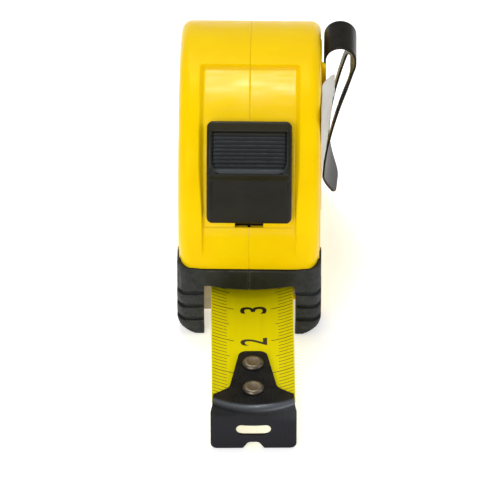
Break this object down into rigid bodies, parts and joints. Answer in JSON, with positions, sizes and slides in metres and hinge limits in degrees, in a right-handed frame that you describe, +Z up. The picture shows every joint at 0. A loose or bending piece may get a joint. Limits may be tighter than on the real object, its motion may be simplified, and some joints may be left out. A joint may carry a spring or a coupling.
{
  "type": "tape measure",
  "caption": "Pocket tape measure with a two-part case, rubber mouth bumper, thumb lock, sprung reel, bowed steel blade with a sliding end hook, and a sprung belt clip.",
  "frame": {"origin": "middle of the flat base, on the seam between the case halves", "axes": "+Z up from the base, -Y out of the mouth along the blade, +X towards the belt clip"},
  "size_m": [0.0338, 0.0861, 0.05],
  "materials": {
    "case_yellow": "smooth moulded, semi gloss",
    "bumper_rubber": "fine matt texture",
    "stop_ivory": "plain moulded",
    "lock_black": "satin moulded, ribbed",
    "lock_inner": "plain moulded",
    "leaf_steel": "bright spring steel",
    "blade_yellow": "yellow enamel, clear coated",
    "hook_black": "black oxide, worn at the edges",
    "rivet_metal": "plated, dull",
    "reel_plastic": "plain moulded",
    "spring_blue": "blued spring steel",
    "arbor_steel": "turned",
    "washer_white": "plain",
    "clip_black": "black, semi gloss",
    "screw_steel": "zinc plated",
    "label_paper": "matt, blank"
  },
  "bodies": {
    "case": {"case_left": "case_yellow", "case_right": "case_yellow", "bumper_left": "bumper_rubber", "bumper_right": "bumper_rubber", "hook_stop": "stop_ivory", "lock_spring": "leaf_steel", "blade_feed": "blade_yellow", "spring_arbor": "arbor_steel", "reel_washer_left": "washer_white", "reel_washer_right": "washer_white", "belt_clip": "clip_black", "side_label": "label_paper", "case_screw_1": "screw_steel", "case_screw_2": "screw_steel", "case_screw_3": "screw_steel", "case_screw_4": "screw_steel", "clip_screw": "screw_steel"},
    "lock": {"thumb_lock": "lock_black", "lock_tongue": "lock_inner"},
    "blade": {"blade_tip": "blade_yellow", "rivet_front": "rivet_metal", "rivet_rear": "rivet_metal"},
    "hook": {"end_hook": "hook_black"},
    "reel": {"reel_drum": "reel_plastic", "reel_cover": "reel_plastic", "blade_coil": "blade_yellow", "power_spring": "spring_blue"},
    "clip": {"clip_leg": "clip_black"}
  },
  "joints": [
    {"name": "blade_retract", "type": "slide", "parent": "case", "child": "blade", "axis": [-0.0225, 0.9997, 0], "range_m": [0, 0.0408]},
    {"name": "reel_spin", "type": "hinge", "parent": "case", "child": "reel", "pos_m": [0, 0, 0.029], "axis": [1, 0, 0], "range_deg": [0, 140]},
    {"name": "hook_float", "type": "slide", "parent": "blade", "child": "hook", "axis": [0.0225, -0.9997, 0], "range_m": [0, 0.0009]},
    {"name": "lock_slide", "type": "hinge", "parent": "case", "child": "lock", "pos_m": [0, 0, 0.025], "axis": [-1, 0, 0], "range_deg": [0, 15]},
    {"name": "clip_spring", "type": "hinge", "parent": "case", "child": "clip", "pos_m": [0.0198, 0.0064, 0.0446], "axis": [0, -1, 0], "range_deg": [0, 6], "stiffness_Nm_per_rad": 1.5}
  ],
  "couplings": [
    {"joint": "reel_spin", "follows": "blade_retract", "rad_per_m": 59.5}
  ]
}
